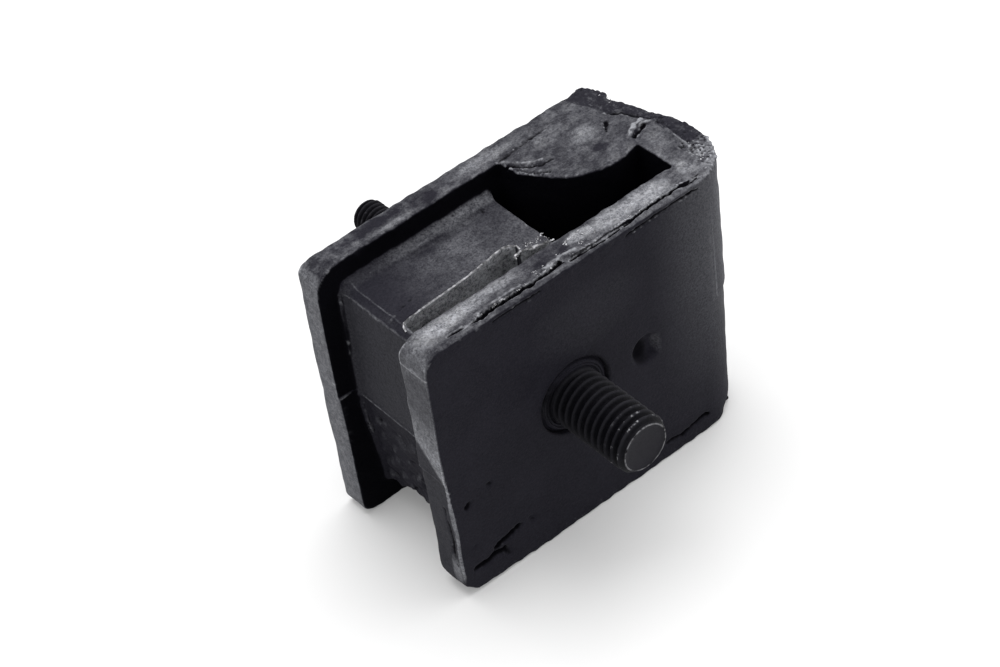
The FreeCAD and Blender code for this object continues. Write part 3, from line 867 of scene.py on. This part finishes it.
# worn outer edges, also lightened as painted edge highlights, and painted shade in deep creases and cuts,
# for the material
mesh = rubberPiece.data
bulge = bendAtPoints(mesh)
spots = (readPoints(mesh, "co") * 1000 - corner).T
cut, raised = np.zeros(len(mesh.vertices)), partingRidge(*spots)
lips = np.zeros_like(cut)            # torn bright beside the split
for index, (path, into, width, depth) in enumerate(scores):
    mark = score(*spots, np.zeros_like(cut), path, into, width, depth, scoreSeed + index)
    if width < 0.5:                  # the wide ones are soft swells
        cut = np.maximum(cut, mark)
        raised = np.maximum(raised, -mark)
    if index < splitMarks:
        lips = np.maximum(lips, fade(mark, 0.03, 0.10) * fade(mark, 0.5, 0.3))
wearAndEdgeLight = np.maximum(np.maximum(fade(bulge, 0.10, 0.30), fade(raised, 0.14, 0.35)), lips)
creaseShade = np.maximum(fade(bulge, -0.14, -0.35), fade(cut, 0.12, 0.38))
mesh.attributes.new("wearAndEdgeLight", "FLOAT", "POINT").data.foreach_set("value", wearAndEdgeLight)
mesh.attributes.new("creaseShade", "FLOAT", "POINT").data.foreach_set("value", creaseShade)
print("rubber done:", len(mesh.polygons), "faces")


# the studs

thread = {
    "rows": 14,                 # in each turn
    "crest": 0.14,              # as shares of half a turn
    "flank": 0.66,
    "depth": 0.6,               # as a share of the pitch
    "chamfer": 0.9,
    "nicks": 0.03,
}


def makeStud(name, spec, node):
    # turned and threaded: rows run from the root in the plate to the middle of the tip
    out, turns, rim, tip = spec["toward"], spec["around"], spec["rim"], spec["length"]
    seat, pitch = spec["seat"], spec["pitch"]
    finish = makeStudFinish(name + "Finish", spec, spec["faceY"] + out * tip)
    rows = [(0.0, -spec["root"]), (spec["collar"], -spec["root"]), (spec["collar"], -seat)]
    rows += [(None, reach) for reach in np.arange(-seat, tip, pitch / thread["rows"])]
    rows += [(rim + 0.10, tip - 0.03), (rim - 0.10, tip), (rim - 0.35, tip - 0.16),
             (rim * 0.75, tip - 0.26), (rim * 0.4, tip - 0.36), (0.0, tip - 0.40)]
    points, faces = [], []
    angles = np.arange(turns) * 2 * math.pi / turns
    for radius, reach in rows:
        if radius is None:
            phase = (reach / pitch - angles / (2 * math.pi)) % 1
            flank = np.abs(phase - 0.5) * 2             # 0 at the crest, 1 at the root
            height = 1 - np.clip((flank - thread["crest"]) / thread["flank"], 0, 1)
            height = height * height * (3 - 2 * height) * 0.35 + height * 0.65
            ring = spec["radius"] - pitch * thread["depth"] * (1 - height)
            runout = fade(reach, 1.2 - seat, 2.6 - seat)
            ring = ring * runout + (spec["radius"] - 0.1) * (1 - runout)
            ring = np.minimum(ring, rim + (tip - reach) * thread["chamfer"])
            nick = ripple(np.cos(angles) * 5, np.sin(angles) * 5, np.full(turns, reach), 1.3, spec["seed"])
            ring = ring + thread["nicks"] * nick * height
        else:
            ring = np.full(turns, radius)
        points.append(np.stack([spec["x"] + ring * np.cos(angles),
                                np.full(turns, spec["faceY"] + out * reach),
                                partingHeight - out * ring * np.sin(angles)], 1))
    points = np.concatenate(points)
    for row in range(len(rows) - 1):
        for step in range(turns):
            a, b = row * turns + step, row * turns + (step + 1) % turns
            faces.append((a, b, b + turns, a + turns))
    piece = newPiece(name, points, faces, finish)
    join = piece.modifiers.new("join", "WELD")
    join.merge_threshold = 1e-6
    applyModifiers(piece)
    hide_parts(node)


frontStud = {
    "x": frontStudX, "faceY": 0.0, "toward": -1, "radius": 5.0, "pitch": 1.5, "length": 15.8, "rim": 4.1,
    "collar": 6.0, "seat": 1.4, "root": 4.6, "around": 120, "seed": 61, "rubbed": 0.9,
}
rearStud = {
    "x": rearStudX, "faceY": rubber["depth"], "toward": 1, "radius": 3.0, "pitch": 1.0, "length": 27.4,
    "rim": 2.55, "collar": 3.8, "seat": 0.5, "root": 3.4, "around": 84, "seed": 62, "rubbed": 0.12,
}
makeStud("frontStudThread", frontStud, "front_stud")
makeStud("rearStudThread", rearStud, "rear_stud")
print("studs done")


# the grooved rubber seat round the front stud

seatRing = {
    # radius and depth below the face
    "rows": [(4.7, 1.6), (4.7, 0.42), (5.02, 0.34), (5.10, 0.58), (5.22, 0.58), (5.30, 0.24),
             (5.52, 0.20), (5.60, 0.46), (5.70, 0.46), (5.78, 0.24), (5.96, 0.28), (6.03, 0.52),
             (6.12, 0.52), (6.20, 0.38), (6.34, 1.15), (6.70, 1.20), (7.05, 1.35), (7.05, 1.6)],
    "around": 128,
}
ringPoints, ringFaces = [], []
count = len(seatRing["rows"])
for step in range(seatRing["around"]):
    angle = step * 2 * math.pi / seatRing["around"]
    for radius, depth in seatRing["rows"]:
        wobble = 0.03 * math.sin(3 * angle + 1) + 0.02 * math.sin(7 * angle)
        across, up = radius * math.cos(angle), radius * math.sin(angle)
        ringPoints.append((frontStudX + across, depth + wobble, partingHeight + up))
    ahead = (step + 1) % seatRing["around"]
    for row in range(count):
        other = (row + 1) % count
        here, there = step * count, ahead * count
        ringFaces.append((here + row, there + row, there + other, here + other))
ringPiece = newPiece("frontSeatRing", ringPoints, ringFaces, rubberMaterial)
soften = ringPiece.modifiers.new("soften", "SUBSURF")
soften.levels = soften.render_levels = 1
applyModifiers(ringPiece)
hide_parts("rubber_body")
print("seat done")


# torn flash

flash = {
    # ribbons left where the mould closed: a path, the ribbon's height and foot width
    "ribbons": [
        ([(5.4, 11.4, 47.4), (5.7, 12.4, 47.45), (6.3, 13.1, 47.45), (7.4, 13.3, 47.45),
          (10.7, 13.55, 47.45), (13.6, 13.7, 47.45), (19.0, 14.0, 47.45), (23.7, 14.6, 47.45),
          (26.8, 15.1, 47.45), (28.1, 14.7, 47.45), (29.0, 13.8, 47.45), (28.9, 12.9, 47.45)], 0.16, 0.26),
        ([(27.4, 12.5, 47.3), (28.6, 12.5, 47.4), (30.1, 11.95, 47.45), (32.1, 11.2, 47.45),
          (34.0, 10.9, 47.4)], 0.20, 0.32),
        ([(30.8, 4.6, 52.1), (33.2, 4.9, 52.1), (35.2, 5.4, 52.1)], 0.25, 0.4),
    ],
    # flakes in a box: low corner, high corner, how many, size
    "flakes": [
        ((57.8, 3.4, 51.85), (61.0, 8.4, 52.1), 70, 0.12),
        ((29.6, 11.3, 47.4), (33.6, 13.4, 47.45), 60, 0.15),
        ((27.0, 12.3, 46.6), (28.6, 12.8, 47.2), 12, 0.18),
        ((31.0, 2.6, 52.2), (36.4, 5.4, 52.25), 70, 0.13),
        ((12.5, 1.7, 52.15), (22.5, 2.3, 52.25), 44, 0.12),
        ((23.5, 1.9, 52.15), (31.0, 3.4, 52.25), 70, 0.13),
        ((41.0, 1.7, 52.1), (54.5, 2.4, 52.2), 44, 0.12),
        ((58.0, 24.5, 52.0), (58.8, 28.0, 52.1), 14, 0.14),
    ],
}
rng = np.random.default_rng(77)
flashPoints, flashFaces = [], []


def addRibbon(path, height, foot):
    path = [Vector(spot) for spot in path]
    stations = []
    for start, end in zip(path[:-1], path[1:]):
        steps = max(2, round((end - start).length / 0.28))
        stations += [start.lerp(end, step / steps) for step in range(steps)]
    stations.append(path[-1])
    base = len(flashPoints)
    for index, spot in enumerate(stations):
        run = stations[min(index + 1, len(stations) - 1)] - stations[max(index - 1, 0)]
        side = Vector((-run.y, run.x, 0)).normalized() * foot / 2
        ends = min(1, index / 3, (len(stations) - 1 - index) / 3)
        rise = height * (0.75 + 0.5 * math.sin(index * 0.7) * rng.random()) * max(ends, 0.05)
        lean = side * rng.uniform(-0.4, 0.4)
        crest = spot + lean + Vector((0, 0, rise + 0.1))
        flashPoints.extend([tuple(spot - side), tuple(spot + side), tuple(crest)])
    for index in range(len(stations) - 1):
        a, b = base + 3 * index, base + 3 * index + 3
        for one, two in ((0, 1), (1, 2), (2, 0)):
            flashFaces.append((a + one, b + one, b + two, a + two))
    last = base + 3 * (len(stations) - 1)
    flashFaces.extend([(base, base + 1, base + 2), (last + 2, last + 1, last)])


def addFlake(spot, size):
    # a small torn flake, thin and uneven, sunk halfway into what it lies on
    base, turn = len(flashPoints), rng.uniform(0, 6.28)
    long, wide = size * rng.uniform(0.8, 2.2), size * rng.uniform(0.4, 0.9)
    for step in range(5):
        angle = step * 2 * math.pi / 5 + rng.uniform(-0.3, 0.3)
        u, v = long * math.cos(angle), wide * math.sin(angle)
        flashPoints.append((spot[0] + u * math.cos(turn) - v * math.sin(turn),
                            spot[1] + u * math.sin(turn) + v * math.cos(turn),
                            spot[2] + rng.uniform(-0.5, 0.9) * size))
    flashPoints.append((spot[0], spot[1], spot[2] + size))
    flashPoints.append((spot[0], spot[1], spot[2] - size))
    for step in range(5):
        ahead = (step + 1) % 5
        flashFaces.append((base + step, base + ahead, base + 5))
        flashFaces.append((base + ahead, base + step, base + 6))


for path, height, foot in flash["ribbons"]:
    addRibbon(path, height, foot)
for low, high, many, size in flash["flakes"]:
    for turn in range(many):
        addFlake(rng.uniform(low, high), size * rng.uniform(0.5, 1.3))
flashPiece = newPiece("mouldFlash", flashPoints, flashFaces, flashMaterial)
flashPiece.data.polygons.foreach_set("use_smooth", [False] * len(flashPiece.data.polygons))
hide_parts("rubber_body")
print("flash done")

for name in ("front_plate", "rear_plate"):
    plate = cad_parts[name]
    plate.data.materials.clear()
    plate.data.materials.append(steelMaterial)


# floor, light and camera

studio = {
    "floorSize": 4.0,
    "floorColour": (0.62, 0.62, 0.62),
    "floorLift": 0.15,          # added for the camera and for gloss only
    "ambient": 0.75,
    # place, aim, size in metres, and power in watts
    "lamps": [
        ("topSoftbox", (0.12, 0.22, 1.1), (0, 0, 0.02), (1.1, 1.0), 15),
        ("rightSoftbox", (0.95, -0.45, 0.5), (0, 0, 0.02), (0.6, 0.6), 2),
    ],
    "camera": (-0.181038, -0.262890, 0.322449),
    "cameraTurn": (0.811592, 0.107712, -0.698005),
    "lens": 98.37,
    "sensor": 36,
    "clip": (0.01, 20),
}
bpy.ops.mesh.primitive_plane_add(size=studio["floorSize"])
floor = bpy.context.object
floor.name = "studioFloor"
s = newShading("floorPaper")
paper = s.noise(60, 3, 0.5, seed=91)
colour = s.mixed(paper, studio["floorColour"], tuple(c * 0.985 for c in studio["floorColour"]))
plain = s.surface(colour, 0.9, 0.1)
glow = s.node("Emission", {}, {"Color": (1, 1, 1, 1), "Strength": s.seen() * studio["floorLift"]})
floor.data.materials.append(s.finish(s.node("AddShader", {}, {0: plain, 1: glow})))
floor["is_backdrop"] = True

s = Shading(bpy.data.worlds.new("studioWorld"), "ShaderNodeOutputWorld")
strength = s.node("MapRange", {}, {"Value": s.seen(), "To Min": studio["ambient"], "To Max": 1.0})
bpy.context.scene.world = s.finish(s.node("Background", {}, {"Color": (1, 1, 1, 1), "Strength": strength}))

for name, place, aim, size, power in studio["lamps"]:
    data = bpy.data.lights.new(name, "AREA")
    data.shape = "RECTANGLE"
    data.size, data.size_y = size
    data.energy = power
    lamp = bpy.data.objects.new(name, data)
    lamp.location = place
    lamp.rotation_euler = (Vector(aim) - Vector(place)).to_track_quat("-Z", "Y").to_euler()
    bpy.context.scene.collection.objects.link(lamp)

cameraData = bpy.data.cameras.new("camera")
cameraData.lens = studio["lens"]
cameraData.sensor_width = studio["sensor"]
cameraData.clip_start, cameraData.clip_end = studio["clip"]
camera = bpy.data.objects.new("camera", cameraData)
camera.location = studio["camera"]
camera.rotation_euler = studio["cameraTurn"]
bpy.context.scene.collection.objects.link(camera)
bpy.context.scene.camera = camera
bpy.context.scene.view_settings.view_transform = "Standard"
print("studio done")

low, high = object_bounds()
